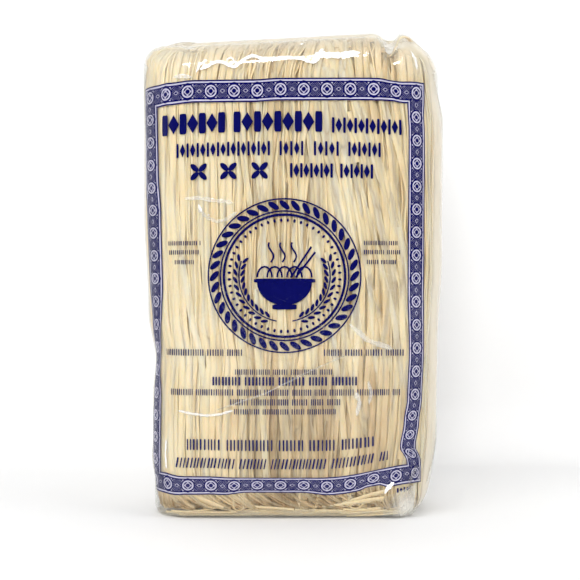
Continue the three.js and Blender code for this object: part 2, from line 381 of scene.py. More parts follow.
def turned(x):
    """How a strand at x is turned about its length: nearly flat, or on edge."""
    if draw.uniform() < habit(x)[0]:
        return draw.normal(0.1, 0.2)
    return draw.uniform(0.6, 1.45) * draw.choice((-1, 1))


def strand(t0, layer, low, high, roll, lean=0.0, stray=1.0, aside=None):
    """One ribbon's path from s = low to s = high at about t0. At the foot it may turn aside, by aside mm."""
    foot = np.arange(low, TURNING, STEP if aside is None else FINE_STEP)
    s = np.concatenate([foot, np.arange(max(low, TURNING), high, STEP), [high]])
    _, _, (_, round_foot, wall, _, _) = stretches(np.array(t0))
    shoulder = round_foot + wall
    x = ((t0 + BACK) % AROUND) - BACK
    _, loose, pale = habit(x)
    t = t0 + lean * (s - MIDDLE_HEIGHT) + sway(s, stray * loose, draw.uniform(90, 220)) + sway(s, 0.2, 40)
    if abs(x) < AROUND / 4:
        # Right of the middle the strands bow in one wide curve.
        t = t + 6.5 * mound(x, 38, 17) * np.cos((s - 85) * math.pi / 180)
    # The middle leans to the right as it goes over the top, and lies flatter lower down.
    t = t + draw.normal(8, 3.0) * mound(x, -5, 50) * np.clip((s - shoulder + 3) / 40, 0, 1.2) ** 1.3
    roll = roll * (1 - 0.6 * mound(x, 0, 45) * ease(115, 75, s)) + sway(s, 0.14, 120)
    if aside is None:
        t = t + draw.normal(9, 7) * mound(x, 12, 52) * np.clip((round_foot + 4 - s) / 26, 0, 1.3) ** 1.5
    else:
        # A ribbon can turn aside only by standing on edge.
        t = t + aside * np.clip((22 - s) / 12, 0, 1.3) ** 1.8
        roll = roll + (draw.uniform(0.85, 1.3) - roll) * ease(23, 15, s)
    dive = 0.5 * (1 + np.sin(2 * math.pi * s / draw.uniform(110, 260) + draw.uniform(0, 6.3)))
    dive = dive * draw.uniform(0.1, 1)
    flat, edge = np.abs(np.cos(roll)), np.abs(np.sin(roll))
    deep = CLEAR + 0.7 * layer + 0.45 * dive + RIBBON_THICK / 2 * flat + 1.45 * edge
    if aside is None:
        deep = deep + 2.0 * ease(15, 5, s)  # under those that turn aside
    # Painted shade: the deeper layers are a little darker.
    tone = draw.normal(0.65, 0.1 - 0.4 * pale) + pale - 0.05 * layer - 0.04 * edge
    # Painted shade: browner low in the middle. Painted light: paler round the right corner.
    tone = tone + sway(s, 0.06, 60) - 0.46 * mound(x, 3, 42) * ease(105, 40, s)
    tone = np.clip(tone + 0.3 * ease(62, 70, t) * ease(96, 86, t), 0.05, 1)
    # Painted shade: strands are made much darker low at the foot, though not right at the floor.
    foot_shade = 0.92 if aside is None else draw.uniform(0.5, 0.93)
    tone = tone * (1 - foot_shade * ease(20, 9, s) * ease(2, 6, s))
    return dict(t=t, s=s, deep=deep, roll=roll, tone=tone, layer=layer)


def ending(lane, low, high, drop=5.0, run=22.0):
    """Lets a strand sink away at its ends, below its neighbours."""
    s = lane["s"]
    gone = np.zeros_like(s)
    if low:
        gone = gone + np.clip(1 - (s - s[0]) / run, 0, 1) ** 2
    if high:
        gone = gone + np.clip(1 - (s[-1] - s) / run, 0, 1) ** 2
    lane["deep"] = lane["deep"] + drop * gone
    return lane


def face_strands(behind):
    """The strands of the front, or of the back, in three layers from one upright corner to the other."""
    lanes = []
    for layer in range(3):
        t = -FLAT - PAST_FACE + draw.uniform(0, 1.5)
        while t < FLAT + PAST_FACE:
            roll = turned(t)
            t += across(roll) / 2
            t0 = BACK - t if behind else t
            _, _, parts = stretches(np.array(t0))
            whole = sum(parts[1:])
            flat = abs(t) < FLAT - 3
            high = whole + draw.uniform(3, 26) if flat else whole - draw.uniform(7, 10)
            if layer or behind:
                lane = strand(t0, layer, draw.uniform(-13, -6), high, roll, stray=1.4 if layer else 1.0)
            else:
                aside = draw.normal(14, 2.5) * (1 - 0.75 * ease(22, 50, t))
                lane = strand(t0, layer, draw.uniform(8.0, 9.5), high, roll, aside=aside)
            lanes.append(ending(lane, False, not flat, 3.0, 12.0))
            t += across(roll) / 2 + abs(draw.normal(0, 0.25)) + (1.1 if layer == 2 or behind else 0.0)
    # Strands that come up from below, cross the others and sink again, or end there in a cut.
    for _ in range(CROSSING_BACK if behind else CROSSING_FRONT):
        x = draw.choice((draw.uniform(-48, 20), draw.uniform(8, 60), draw.uniform(12, 60)))
        right = ease(2, 32, x)
        lean = right * draw.uniform(-0.32, -0.04) + (1 - right) * draw.normal(-0.02, 0.06)
        middle, long = draw.uniform(45, 215), draw.uniform(50, 140)
        low, high = max(middle - long / 2, 4), min(middle + long / 2, 236)
        t0 = (BACK - x if behind else x) + lean * (MIDDLE_HEIGHT - middle)
        lane = strand(t0, 0, low, high, draw.normal(0, 0.3), lean=lean, stray=0.7)
        lane["deep"] = np.minimum(lane["deep"], CLEAR + 0.45 + 1.45 * np.abs(np.sin(lane["roll"])))
        lane["tone"] = np.clip(lane["tone"] + 0.1, 0, 1)
        lane["layer"] = 1
        cut = draw.uniform() < CUT
        lanes.append(ending(lane, draw.uniform() < 0.5 or not cut, not cut))
    return lanes


def side_strands():
    """The strands of both narrow sides, which end where the corners fold in."""
    lanes = []
    for middle in (RIGHT, AROUND - RIGHT):
        for layer in range(3):
            t = -SIDE - PAST_SIDE + draw.uniform(0, 2)
            while t < SIDE + PAST_SIDE:
                roll = turned(draw.choice((-40, 0, 50)))
                t += across(roll) / 2
                _, _, parts = stretches(np.array(middle + t))
                high = sum(parts[1:]) - draw.uniform(5, 8)
                lane = strand(middle + t, layer, draw.uniform(-5, 1), high, roll, stray=0.6)
                lanes.append(ending(lane, False, True, 3.0, 12.0))
                t += across(roll) / 2 + 0.2 + 0.5 * layer
    return lanes


# One loose strand stands up in an arch: how far round the top, how tall, and how far the film over it.
ARCH_UP, ARCH_TALL, ARCH_FILM = 0.8, 4.2, 3.9


def arch(t):
    """The share of its height that the arch has at t, from its root at the left to its free end."""
    return ease(50, 58, t) * ease(90, 66, t)


def bends():
    """Where a skein was folded: strands that come down, turn back up beside themselves and sink away."""
    lanes = []
    for x in (-31, 4, 30):
        wide = draw.uniform(5, 11)
        turn = np.linspace(0, math.pi, 9)
        foot = draw.uniform(9, 13)
        legs = draw.uniform(28, 75, 2)
        down = np.arange(foot + legs[0], foot, -4.0)
        up = np.arange(foot + 4, foot + legs[1], 4.0)
        s = np.concatenate([down, foot - 0.5 * wide * np.sin(turn), up])
        t = np.concatenate([0 * down, wide * 0.5 * (1 - np.cos(turn)), wide + 0 * up]) + x
        t = t + 0.10 * (s - foot) * draw.normal(0, 0.7)
        far = np.concatenate([(down - foot) / legs[0], 0 * turn, (up - foot) / legs[1]])
        deep = CLEAR + 1.2 + 5.0 * far**2 + draw.uniform(0, 0.5)
        tone = np.clip(draw.normal(0.4, 0.08) + 0 * s, 0, 1)
        lanes.append(dict(t=t, s=s, deep=deep, roll=0 * s + draw.uniform(0.7, 1.0), tone=tone, layer=1))
    return lanes


def lying():
    """Strands that lie along the foot, and a few that lie across what turns aside there, with free ends."""
    lanes = []
    along = np.linspace(0, 1, 14)
    for x in np.arange(-70, 46, 3.6):
        far = min(draw.uniform(20, 48), 61 - x)
        t = x + draw.normal(0, 2) + far * along
        s = draw.uniform(1.6, 6.0) + draw.uniform(-0.8, 0.8) * (along - 0.5) + 2.5 * ease(30, 60, t)
        sunk = draw.choice((0.0, 2.5), 2)
        deep = CLEAR + 0.45 + draw.uniform(0, 0.6) + sunk[0] * (1 - along) ** 3 + sunk[1] * along**3
        tone = np.clip(draw.normal(0.5, 0.1) + 0 * s, 0, 1)
        lanes.append(dict(t=t, s=s, deep=deep, roll=0 * s + draw.normal(0.4, 0.4), tone=tone, layer=1))
    crossing = ((-57, -36, 15.5, 8.6), (24, 50, 9.0, 17.0), (16, 49, 7.6, 13.5), (-22, 2, 8.0, 7.4))
    for x, end, low, high in crossing:
        t = x + (end - x) * along
        s = low + (high - low) * along + 0.8 * np.sin(math.pi * along)
        deep = CLEAR + 0.45 + 2.5 * (1 - along) ** 4
        lanes.append(dict(t=t, s=s, deep=deep, roll=0 * s + 0.6, tone=0 * s + 0.6, layer=1))
    return lanes


def loose_arch():
    t = np.linspace(49, 76, 22)
    _, _, (_, round_foot, wall, round_top, _) = stretches(t)
    s = round_foot + wall + ARCH_UP * round_top
    deep = CLEAR + 0.5 - ARCH_TALL * arch(t)
    return dict(t=t, s=s, deep=deep, roll=0 * t, tone=0 * t + 0.75, layer=1)


def grow(name, sizes, shape, *steps):
    """A tree that turns a host's points and edges into a mesh, with a named input for each size. Its steps
    are (name, node type, settings, inputs); an input is a value, or "step.output" for a wire. The shape is
    the wire that ends up as the mesh."""
    tree = bpy.data.node_groups.new(name, "GeometryNodeTree")
    face = tree.interface
    face.new_socket("Geometry", in_out="INPUT", socket_type="NodeSocketGeometry")
    for size, value in sizes.items():
        face.new_socket(size, in_out="INPUT", socket_type="NodeSocketFloat").default_value = value
    face.new_socket("Material", in_out="INPUT", socket_type="NodeSocketMaterial")
    face.new_socket("Geometry", in_out="OUTPUT", socket_type="NodeSocketGeometry")
    steps += (
        ("real", "RealizeInstances", {}, {"Geometry": shape}),
        ("finish", "SetMaterial", {}, {"Geometry": "real.Geometry", "Material": "in.Material"}),
        ("out", "", {}, {"Geometry": "finish.Geometry"}),
    )
    made = {"in": tree.nodes.new("NodeGroupInput"), "out": tree.nodes.new("NodeGroupOutput")}
    for step, kind, settings, inputs in steps:
        if step not in made:
            made[step] = tree.nodes.new(kind if kind.startswith("Shader") else "GeometryNode" + kind)
        node = made[step]
        for key, setting in settings.items():
            setattr(node, key, setting)
        for key, value in inputs.items():
            for link in value if isinstance(value, list) else [value]:
                if isinstance(link, str) and "." in link:
                    source, output = link.split(".")
                    tree.links.new(made[source].outputs[output], node.inputs[key])
                else:
                    node.inputs[key].default_value = link
    return tree


def named(kind, name):
    return (name, "InputNamedAttribute", {"data_type": kind}, {"Name": name})


# Host edges become ribbons: the flat way follows "outward", turned by "roll".
ribbons = grow(
    "noodle_ribbons",
    {"Width": RIBBON_WIDE * 0.001, "Thickness": RIBBON_THICK * 0.001, "Edge radius": 0.26 * 0.001},
    "smooth.Geometry",
    named("FLOAT_VECTOR", "outward"),
    named("FLOAT", "roll"),
    ("curve", "MeshToCurve", {}, {"Mesh": "in.Geometry"}),
    ("normal", "SetCurveNormal", {"mode": "FREE"}, {"Curve": "curve.Curve", "Normal": "outward.Attribute"}),
    ("tilt", "SetCurveTilt", {}, {"Curve": "normal.Curve", "Tilt": "roll.Attribute"}),
    ("box", "CurvePrimitiveQuadrilateral", {}, {"Width": "in.Thickness", "Height": "in.Width"}),
    ("soft", "FilletCurve", {"mode": "POLY"}, {"Curve": "box.Curve", "Count": 1, "Radius": "in.Edge radius"}),
    ("ribbon", "CurveToMesh", {}, {"Curve": "tilt.Curve", "Profile Curve": "soft.Curve", "Fill Caps": True}),
    ("smooth", "SetShadeSmooth", {}, {"Geometry": "ribbon.Mesh", "Shade Smooth": True}),
)


def run_tree(tree, name, points, edges, attributes, inputs):
    """Runs a tree on a host of points and edges in metres, and keeps the plain mesh that it makes."""
    mesh = bpy.data.meshes.new(name + "_host")
    mesh.from_pydata(points, edges, [])
    for key, (kind, values) in attributes.items():
        layer = mesh.attributes.new(key, kind, "POINT")
        layer.data.foreach_set("vector" if kind == "FLOAT_VECTOR" else "value", np.ravel(values).tolist())
    host = bpy.data.objects.new(name, mesh)
    bpy.context.scene.collection.objects.link(host)
    modifier = host.modifiers.new("tree", "NODES")
    modifier.node_group = tree
    for item in tree.interface.items_tree:
        if item.item_type == "SOCKET" and item.in_out == "INPUT" and item.name in inputs:
            modifier[item.identifier] = inputs[item.name]
    depsgraph = bpy.context.evaluated_depsgraph_get()
    made = bpy.data.meshes.new_from_object(host.evaluated_get(depsgraph), depsgraph=depsgraph)
    made.name = name
    host.modifiers.clear()
    host.data = made
    bpy.data.meshes.remove(mesh)
    return host


def strands_piece(name, lanes):
    """All of these strands as one piece, clear of the floor."""
    points, ways, rolls, tone_and_painted_light_values, edges, first = [], [], [], [], [], 0
    for lane in lanes:
        point, way = packed(lane["t"], lane["s"], lane["deep"])
        point[:, 2] = np.maximum(point[:, 2], 0.5 + 1.4 * np.abs(np.sin(lane["roll"])))
        points.append(point)
        ways.append(way)
        rolls.append(lane["roll"] + np.zeros(len(point)))
        tone_and_painted_light_values.append(lane["tone"] + np.zeros(len(point)))
        edges += [(first + i, first + i + 1) for i in range(len(point) - 1)]
        first += len(point)
    attributes = {
        "outward": ("FLOAT_VECTOR", np.concatenate(ways)),
        "roll": ("FLOAT", np.concatenate(rolls)),
        "tone": ("FLOAT", np.concatenate(tone_and_painted_light_values)),
    }
    places = (np.concatenate(points) * 0.001).tolist()
    in_the_bag(run_tree(ribbons, name, places, edges, attributes, {"Material": noodle}))


front_lanes, back_lanes, side_lanes = face_strands(False), face_strands(True), side_strands()
strands_piece("noodles_front", front_lanes)
strands_piece("noodles_back", back_lanes)
strands_piece("noodles_sides", side_lanes)
strands_piece("noodle_bends", bends() + lying() + [loose_arch()])


# ---- The film ------------------------------------------------------------------------------------------
# A tube of clear, crisp film, pulled so tight round the noodles that each outer strand shows as a rib. It
# puckers where it goes over the shoulder and is creased where it was folded in the box.


def level_of(t, s):
    """How far up the skin, from 0 under the foot to 5 on the ridge, one for each of its stretches."""
    _, _, parts = stretches(t)
    start, level = -parts[0], 0.0
    for part in parts:
        level = level + np.clip((s - start) / part, 0, 1)
        start = start + part
    return level


LEVELS = np.linspace(0, 5, 126)
SPANNED = 0.4  # the share of the dip between the skeins that the film follows


def lane_map():
    """For each level, where round the pack the outermost strands lie."""
    rows = []
    for lane in front_lanes + back_lanes + side_lanes:
        if lane["layer"] == 0:
            level = level_of(lane["t"], lane["s"])
            rows.append(np.interp(LEVELS, level, lane["t"]))
    rows = np.sort(np.mod(np.array(rows), AROUND), 0)
    return np.concatenate([rows[-1:] - AROUND, rows, rows[:1] + AROUND])


lane_rows = lane_map()


def ripple(t, s, size, length, seed, ridged=False):
    """A random swell over the skin, from waves that run every way; ridged, it has sharp crests."""
    pick = np.random.default_rng(seed)
    total = 0
    for _ in range(7):
        angle, phase, scale = pick.uniform(0, math.pi), pick.uniform(0, 6.3), pick.uniform(0.6, 1.7)
        wave = np.sin(2 * math.pi * (t * np.cos(angle) + s * np.sin(angle)) / (length * scale) + phase)
        total = total + (1 - 2 * np.abs(wave) if ridged else wave)
    return size * total / 7**0.5


def over_arch(t, level):
    """How much of the arch stands under the film at t and level: 0 none, 1 its top."""
    return arch(t) * mound(level, 3 + ARCH_UP, 0.14)


def cling(t, s):
    """How deep the film dips at t, s: it sinks between two strands, and puckers over the shoulder."""
    t, s = np.broadcast_arrays(np.asarray(t, float), np.asarray(s, float))
    level = level_of(t, s)
    column = np.clip(np.round(level / 5 * (len(LEVELS) - 1)).astype(int), 0, len(LEVELS) - 1)
    flat_t, flat_c = np.mod(t, AROUND).ravel(), column.ravel()
    dip = np.zeros(flat_t.shape)
    for c in np.unique(flat_c):
        here = flat_c == c
        lanes = lane_rows[:, c]
        k = np.clip(np.searchsorted(lanes, flat_t[here]), 1, len(lanes) - 1)
        gap = np.maximum(lanes[k] - lanes[k - 1], 1e-6)
        share = (flat_t[here] - lanes[k - 1]) / gap
        dip[here] = np.clip(0.06 * gap, 0.03, 0.2) * np.sin(math.pi * np.clip(share, 0, 1)) ** 2
    dip = dip.reshape(t.shape)
    tight = np.clip(0.75 + ripple(t, s, 0.4, 60, 5), 0.15, 1)
    on_shoulder = np.clip(1 - np.abs(level - 3.45) / 0.75, 0, 1)
    on_ends = np.clip(1.3 - level, 0, 1) + np.clip(level - 4, 0, 1)
    x = ((t + BACK) % AROUND) - BACK
    pucker = 0.22 + ripple(t, s * 1.6, 0.12, 9, 8, True) * (np.abs(x) > 40) + ripple(t, s, 0.1, 24, 9)
    slack = np.clip(ripple(t, s, 0.12, 26, 12, True), 0, 0.3)
    dip = dip * tight * np.clip(1 - on_ends, 0, 1) * (1 - 0.9 * on_shoulder)
    return dip - on_shoulder * pucker - slack * 0.5 - ARCH_FILM * over_arch(np.mod(t, AROUND) + 1, level)


def skin(t, s, below=0.0):
    """A point of the film, or below mm under it, and the way out there."""
    return packed(t, s, cling(t, s) + below, parting=SPANNED)


def laid(x, z, below=0.0):
    """The point of the film's front at x and height z, or below mm under it."""
    side = np.where(x < 0, up_along(LEFT_EDGE, z), up_along(RIGHT_EDGE, z))
    t = x * HALF / side
    return skin(t, up_skin(t, z - ease(SHOULDER / 2, SHOULDER, z) * end_rise(x)), below)[0]


def clear_film(name, haze=0.0, crimped=False, white=(0.88, 0.83, 0.72)):
    """Clear polypropylene: seen through, a mirror where light grazes it, milky in folds; its milky white also
    paints light.
    """
    p = Paint(name)
    place = p.add("ShaderNodeTexCoord", {})[OBJECT]
    veil = p.add("ShaderNodeAttribute", {"attribute_name": "veil"})[2]
    crumple = p.add("ShaderNodeTexVoronoi", {"feature": "DISTANCE_TO_EDGE"}, Vector=place, Scale=95.0)[0]
    fine = p.add("ShaderNodeTexNoise", {}, Vector=place, Scale=260.0, Detail=2.0)[0]
    wide = p.add("ShaderNodeTexNoise", {}, Vector=place, Scale=48.0, Detail=2.0)[0]
    height = (crumple * 3.0).between(0.0, 0.2) + fine * 0.12 + wide * 0.8
    if crimped:
        lines = p.add("ShaderNodeTexWave", {"bands_direction": "Z"}, Vector=place, Scale=160.0)[1]
        height = height + lines * 0.8
    bump = p.add("ShaderNodeBump", {}, Height=height, Strength=0.3, Distance=0.0006)[0]
    mirror = p.add("ShaderNodeFresnel", {}, IOR=1.49, Normal=bump)[0]
    scuff = p.add("ShaderNodeTexNoise", {}, Vector=place, Scale=34.0, Detail=5.0)[0]
    through = p.add("ShaderNodeBsdfTransparent", {}, (0.985, 0.99, 0.99, 1.0))[0]
    # Painted light: whiter where a piece marks its sides as lit.
    bleach = p.add("ShaderNodeAttribute", {"attribute_name": "bleach"})[2]
    cloud = p.blend(bleach, white, (0.96, 0.95, 0.92))
    milky_haze_and_painted_light = p.add("ShaderNodeBsdfPrincipled", {}, Base_Color=cloud, Roughness=0.7)[0]
    cloudy = (haze + veil * (0.6 + scuff * 0.8)).between(0.0, 1.0)
    body = p.add("ShaderNodeMixShader", {}, cloudy, through, milky_haze_and_painted_light)[0]
    gloss = p.add(
        "ShaderNodeBsdfPrincipled",
        {},
        Base_Color=(0.97, 0.97, 0.97, 1.0),
        Metallic=1.0,
        Roughness=0.1,
        Normal=bump,
    )[0]
    return p.finish(p.add("ShaderNodeMixShader", {}, (mirror * 0.8).between(0.0, 0.35), body, gloss)[0])


film_finish = clear_film("clear_film", white=(0.74, 0.675, 0.525))


def side_haze_and_painted_light(t):
    """Milky round the upright corners, most at the right, less on the sides: folded film's haze and painted
    light.
    """
    _, _, twin, half = facing(t)
    right = 0.5 * ease(66, 73, twin) - 0.26 * ease(79, 88, twin)
    return np.where(half > 0, right, 0.22 * ease(79, 88, twin)) * ease(BACK - 66, BACK - 82, twin)


def film():
    """The tube from under the foot to the ridge, finest on the wall, with how milky it is at each point."""
    columns = 420
    rows = ((0, 5), (1, 12), (2, 132), (3, 34), (4, 6))
    levels = np.concatenate([np.linspace(k, k + 1, count)[:-1] for k, count in rows] + [[5.0]])
    t = (np.arange(columns) / columns * AROUND)[None, :]
    _, _, parts = stretches(t)
    s = -parts[0] + sum(part * np.clip(levels[:, None] - k, 0, 1) for k, part in enumerate(parts))
    point, _ = skin(t + 0 * s, s)
    point[levels <= 1.0, :, 2] = 0.0
    tube = solid_mesh("film_bag", point.reshape(-1, 3), tube_faces(len(levels), columns), film_finish)
    up = levels[:, None]
    top = ease(3.0, 3.9, up)
    hump = 0.24 * ease(50, 58, t) * ease(76, 67, t) * ease(2.97, 3.12, up)
    sides = side_haze_and_painted_light(t) * (1 - 0.5 * ease(2.85, 3.3, up))
    # Painted light: the film at the foot is made milky to lift the shade where the pack meets the floor.
    foot = 0.45 * ease(1.9, 1.1, up)
    mark(tube, "veil", (0.42 * top + sides + hump) * (1 - 0.9 * over_arch(t, up)) + foot)
    # Painted light: the milky film on the sides is tinted whiter, as where light falls on it.
    mark(tube, "bleach", 0.4 * np.minimum(sides * 3, 1) * (1 - top))
    merge(tube, 0.00004)
    return tube


in_the_bag(film())


# ---- Folds, fin and seam -------------------------------------------------------------------------------
# The tube is closed by a lapped seam down the back and by heat seals at its ends. The top seal is a fin that
# leans back, the gussets' corners are folded flat on the sides, and one tuck stands off at the lower right,
# crumpled at its root.


def closed_sheet(rows, columns, first=0):
    """The faces of a thin closed piece between two grids of points, the outer one first."""
    count, faces = rows * columns, []
    for j in range(rows - 1):
        for i in range(columns - 1):
            a = first + j * columns + i
            b = a + count
            faces.append((a, a + 1, a + 1 + columns, a + columns))
            faces.append((b, b + columns, b + 1 + columns, b + 1))
    rim = list(range(columns)) + [j * columns + columns - 1 for j in range(1, rows)]
    rim += [count - 1 - i for i in range(1, columns)] + [j * columns for j in range(rows - 2, 0, -1)]
    for a, b in zip(rim, rim[1:] + rim[:1]):
        faces.append((first + b, first + a, first + count + a, first + count + b))
    return faces


WELD = 0.000002  # metres


def leaf(name, columns, rows, outer, inner, material, smooth=True):
    """A thin closed piece between two sheets, each a function of u and v from 0 to 1 on whole arrays."""
    u, v = np.meshgrid(np.linspace(0, 1, columns + 1), np.linspace(0, 1, rows + 1))
    points = np.concatenate([outer(u, v).reshape(-1, 3), inner(u, v).reshape(-1, 3)])
    piece = solid_mesh(name, points, closed_sheet(rows + 1, columns + 1), material, smooth)
    merge(piece, WELD)
    return in_the_bag(piece)


FIN_LEFT, FIN_WIDE, FIN_TALL, FIN_ROOT = -62.0, 134.0, 13.4, 5.0


def fin_sheet(side):
    """One face of the fin. It leans back least over the place where the skeins part."""

    def sheet(u, v):
        x = FIN_LEFT + FIN_WIDE * u
        lean = 1.44 - 0.57 * mound(x, SKEINS_PART, 34)
        reach = v * (FIN_TALL + 0.6 * np.sin(14 * u)) - FIN_ROOT * (1 - v)
        ridge = SHOULDER + CROWN + end_rise(x, 22.0)
        y = 9 + reach * np.sin(lean) + v * (0.9 * np.sin(23 * u) + 0.25 * np.sin(61 * u + 3 * v))
        z = ridge + reach * np.cos(lean) - 0.6 + 0.3 * v * np.sin(47 * u)
        half = side * 0.12
        return np.stack([x, y - half * np.cos(lean), z + half * np.sin(lean)], -1) - WHOLE_MIDDLE

    return sheet


sealed_finish = clear_film("sealed_film", 0.05, True)
leaf("film_top_fin", 150, 22, fin_sheet(1), fin_sheet(-1), sealed_finish)


FLAP_HALF, FLAP_LONG = 19.0, 34.0


def flap_sheet(middle, upper, lift):
    """A gusset's folded corner: a triangle that points down from the top end, or up from the foot."""

    def sheet(u, v):
        reach = 1 - v if upper else v
        t = middle + (2 * u - 1) * FLAP_HALF * (1 - 0.92 * reach)
        _, _, (_, round_foot, wall, _, _) = stretches(t)
        s = round_foot + wall + 1.7 - reach * FLAP_LONG if upper else round_foot - 1.7 + reach * FLAP_LONG
        wave = 0.25 * np.sin(2.5 * u + 6 * v) + 0.12 * np.sin(17 * u + 4 * v)
        return packed(t, s, -(0.2 + lift + wave * np.sin(math.pi * v)), parting=SPANNED)[0]

    return sheet


folded_finish = clear_film("folded_film", 0.07)
for side, middle in (("right", RIGHT), ("left", AROUND - RIGHT)):
    for end, upper in (("upper", True), ("lower", False)):
        sheets = flap_sheet(middle, upper, 0.18), flap_sheet(middle, upper, 0.0)
        leaf(f"film_fold_{end}_{side}", 30, 28, *sheets, folded_finish)


SEAM_WIDE, SEAM_LOW, SEAM_LONG = 11.0, 18.0, 196.0


def seam_sheet(lift):
    def sheet(u, v):
        t = BACK + (u - 0.5) * SEAM_WIDE + 0.5 * np.sin(7 * v)
        s = SEAM_LOW + SEAM_LONG * v
        return packed(t, s, -(0.32 + lift + 0.08 * np.sin(31 * v + 3 * u)), parting=SPANNED)[0]

    return sheet


leaf("film_back_seam", 12, 110, seam_sheet(0.2), seam_sheet(0.0), folded_finish)


# Where the film was folded hard it stands in narrow raised lines, painted white as the highlights and glints
# that light makes on these creases. Each has x and z along it, its width, its height and how milky it is,
# which is the strength of its painted highlight. The thickest, the painted streak, runs along the bend into
# the top end.
BEND_LEFT = ((-43, 214.0), (-41, 214.8), (-39.5, 215.4), (-37, 217.1), (-34.7, 217.9), (-31.8, 217.5))
BEND_LEFT += ((-29.9, 216.3), (-26.5, 215.0), (-24, 217.0), (-21.7, 219.2), (-18.3, 221.0), (-16.4, 220.7))
BEND_LEFT += ((-14, 219.6), (-8, 219.5), (-2, 219.9), (1, 219.5), (5.3, 219.3), (8, 218.0), (10.6, 217.0))
BEND_RIGHT = ((9.6, 216.8), (11.8, 218.0), (13.2, 220.6), (15, 222.0), (18.3, 221.0), (24, 220.9))
BEND_RIGHT += ((29, 221.7), (33.5, 222.2))
CREASES = (
    (BEND_LEFT, 1.6, 0.45, 1.0),
    (BEND_RIGHT, 3.1, 0.6, 1.0),
    (((-40.6, 219.6), (-41.0, 216.8), (-42.0, 213.6)), 0.8, 0.3, 0.7),
    (((-43.6, 217.8), (-43.4, 215.2), (-44.6, 212.4)), 1.2, 0.3, 0.6),
    (((-30.2, 217.4), (-29.8, 219.2), (-28.2, 220.0), (-26.9, 218.8), (-26.6, 216.6)), 0.8, 0.3, 0.85),
    (((13.5, 221.7), (14.8, 223.8), (16.4, 224.2)), 0.9, 0.3, 0.8),
    (((4.8, 227.3), (6.6, 227.9)), 1.2, 0.3, 0.9),
    (((-55.5, 210.2), (-51, 210.9), (-46.5, 210.1)), 2.2, 0.15, 0.2),
    (((60.4, 224), (61.4, 219.5), (61.0, 214)), 1.5, 0.3, 0.5),
    (((-50, 152.4), (-43, 152.6), (-36, 151.4), (-27, 150.4)), 1.8, 0.12, 0.16),
    (((-44, 148), (-39.5, 143.5), (-35, 141.3), (-30, 142.5), (-25, 146)), 1.5, 0.12, 0.14),
    (((-43.4, 149.6), (-42.4, 147.4), (-41.6, 145.9)), 1.6, 0.4, 0.6),
    (((-39, 145), (-37.8, 144.2)), 1.2, 0.3, 0.4),
    (((-53.3, 51.6), (-47, 50.3), (-39.7, 49.4), (-33, 50.1), (-27, 52)), 1.2, 0.25, 0.4),
    (((26, 78), (10, 71), (-12, 60), (-35, 52)), 0.7, 0.12, 0.1),
    (((28, 93), (37, 85), (49, 81)), 2.2, 0.15, 0.16),
    (((31, 61), (33, 56), (31.5, 49)), 2.0, 0.2, 0.22),
    (((37, 66), (38.5, 60), (37.5, 55)), 1.6, 0.2, 0.18),
    (((-60, 37.5), (-60.4, 31), (-60, 23.5)), 0.9, 0.3, 0.7),
    (((45.0, 12.2), (46.4, 14.6), (49.4, 17.6)), 2.3, 0.4, 0.95),
)


def creases():
    """Every line as a thin closed ridge on the film, tapered and ragged at its edges."""
    points, faces, milky_haze_and_painted_light, first = [], [], [], 0
    for number, (line, wide, high, veil) in enumerate(CREASES):
        run = np.concatenate([[0], np.cumsum([math.dist(a, b) for a, b in zip(line, line[1:])])])
        far = np.linspace(0, run[-1], max(6, int(run[-1] / 0.45)))
        x, z = (np.interp(far, run, column) for column in zip(*line))
        way_x, way_z = np.gradient(x), np.gradient(z)
        size = np.maximum(np.hypot(way_x, way_z), 1e-9)
        taper = np.clip(np.minimum(far, run[-1] - far) / (1.1 * wide), 0.06, 1) ** 0.7
        ragged = [0.72 + 0.55 * noise.noise((0.75 * f, 7.3 * number, 0.0)) for f in far]
        shares = np.linspace(-1, 1, 7)[None, :]
        half = (taper * (np.array(ragged) + 0.25) * wide / 2)[:, None]
        lift = high * taper[:, None] * (1 - shares**2) * (0.8 + 0.4 * np.sin(3.1 * far + number))[:, None]
        across_x = x[:, None] - half * shares * (way_z / size)[:, None]
        across_z = z[:, None] + half * shares * (way_x / size)[:, None]
        for below in (-0.06 - lift, 0.02 + 0 * lift):
            points.append(laid(across_x, across_z, below).reshape(-1, 3))
        faces += closed_sheet(*across_x.shape, first)
        first += 2 * across_x.size
        milky_haze_and_painted_light += [veil] * (2 * across_x.size)
    # Painted highlight: the white of these lines stands for light glinting off the creases.
    painted_glint_finish = clear_film("creased_film_painted_glints", white=(0.95, 0.94, 0.92))
    piece = solid_mesh("film_creases", np.concatenate(points), faces, painted_glint_finish)
    mark(piece, "veil", milky_haze_and_painted_light)
    merge(piece, WELD)
    return piece


in_the_bag(creases())


def ear_sheet(side):
    """The tuck: a narrow flap of double film that stands out from the corner above the foot."""

    def sheet(u, v):
        up = 2 + 23 * u
        reach = 3.3 * np.sin(math.pi * (0.12 + 0.82 * u)) ** 0.7 * (1 + 0.1 * np.sin(19 * u))
        t = FLAT + ARC * (0.27 + 0.05 * np.sin(7 * u)) + side * 0.09 + 0.6 * v * np.sin(9 * u)
        return packed(t, up_skin(t, up), -(-0.4 + (reach + 0.4) * v))[0]

    return sheet


leaf("film_corner_tuck", 30, 6, ear_sheet(1), ear_sheet(-1), folded_finish)


def crumple_sheet(lift):
    """The tuck's root, where the film lies crushed into small flat facets."""

    def sheet(u, v):
        t = 48.5 + 17 * u
        s = up_skin(t, 0.5 + 16 * v * (0.62 + 0.38 * u))
        crushed = np.clip(0.7 + ripple(1.9 * t, s, 0.8, 6.5, 21, True), 0, 2.2)
        rim = np.sin(math.pi * np.clip(u, 0.02, 0.98)) * np.sin(math.pi * np.clip(v, 0.05, 0.95))
        return packed(t, s, -(0.12 + lift + crushed * rim**0.5))[0]

    return sheet


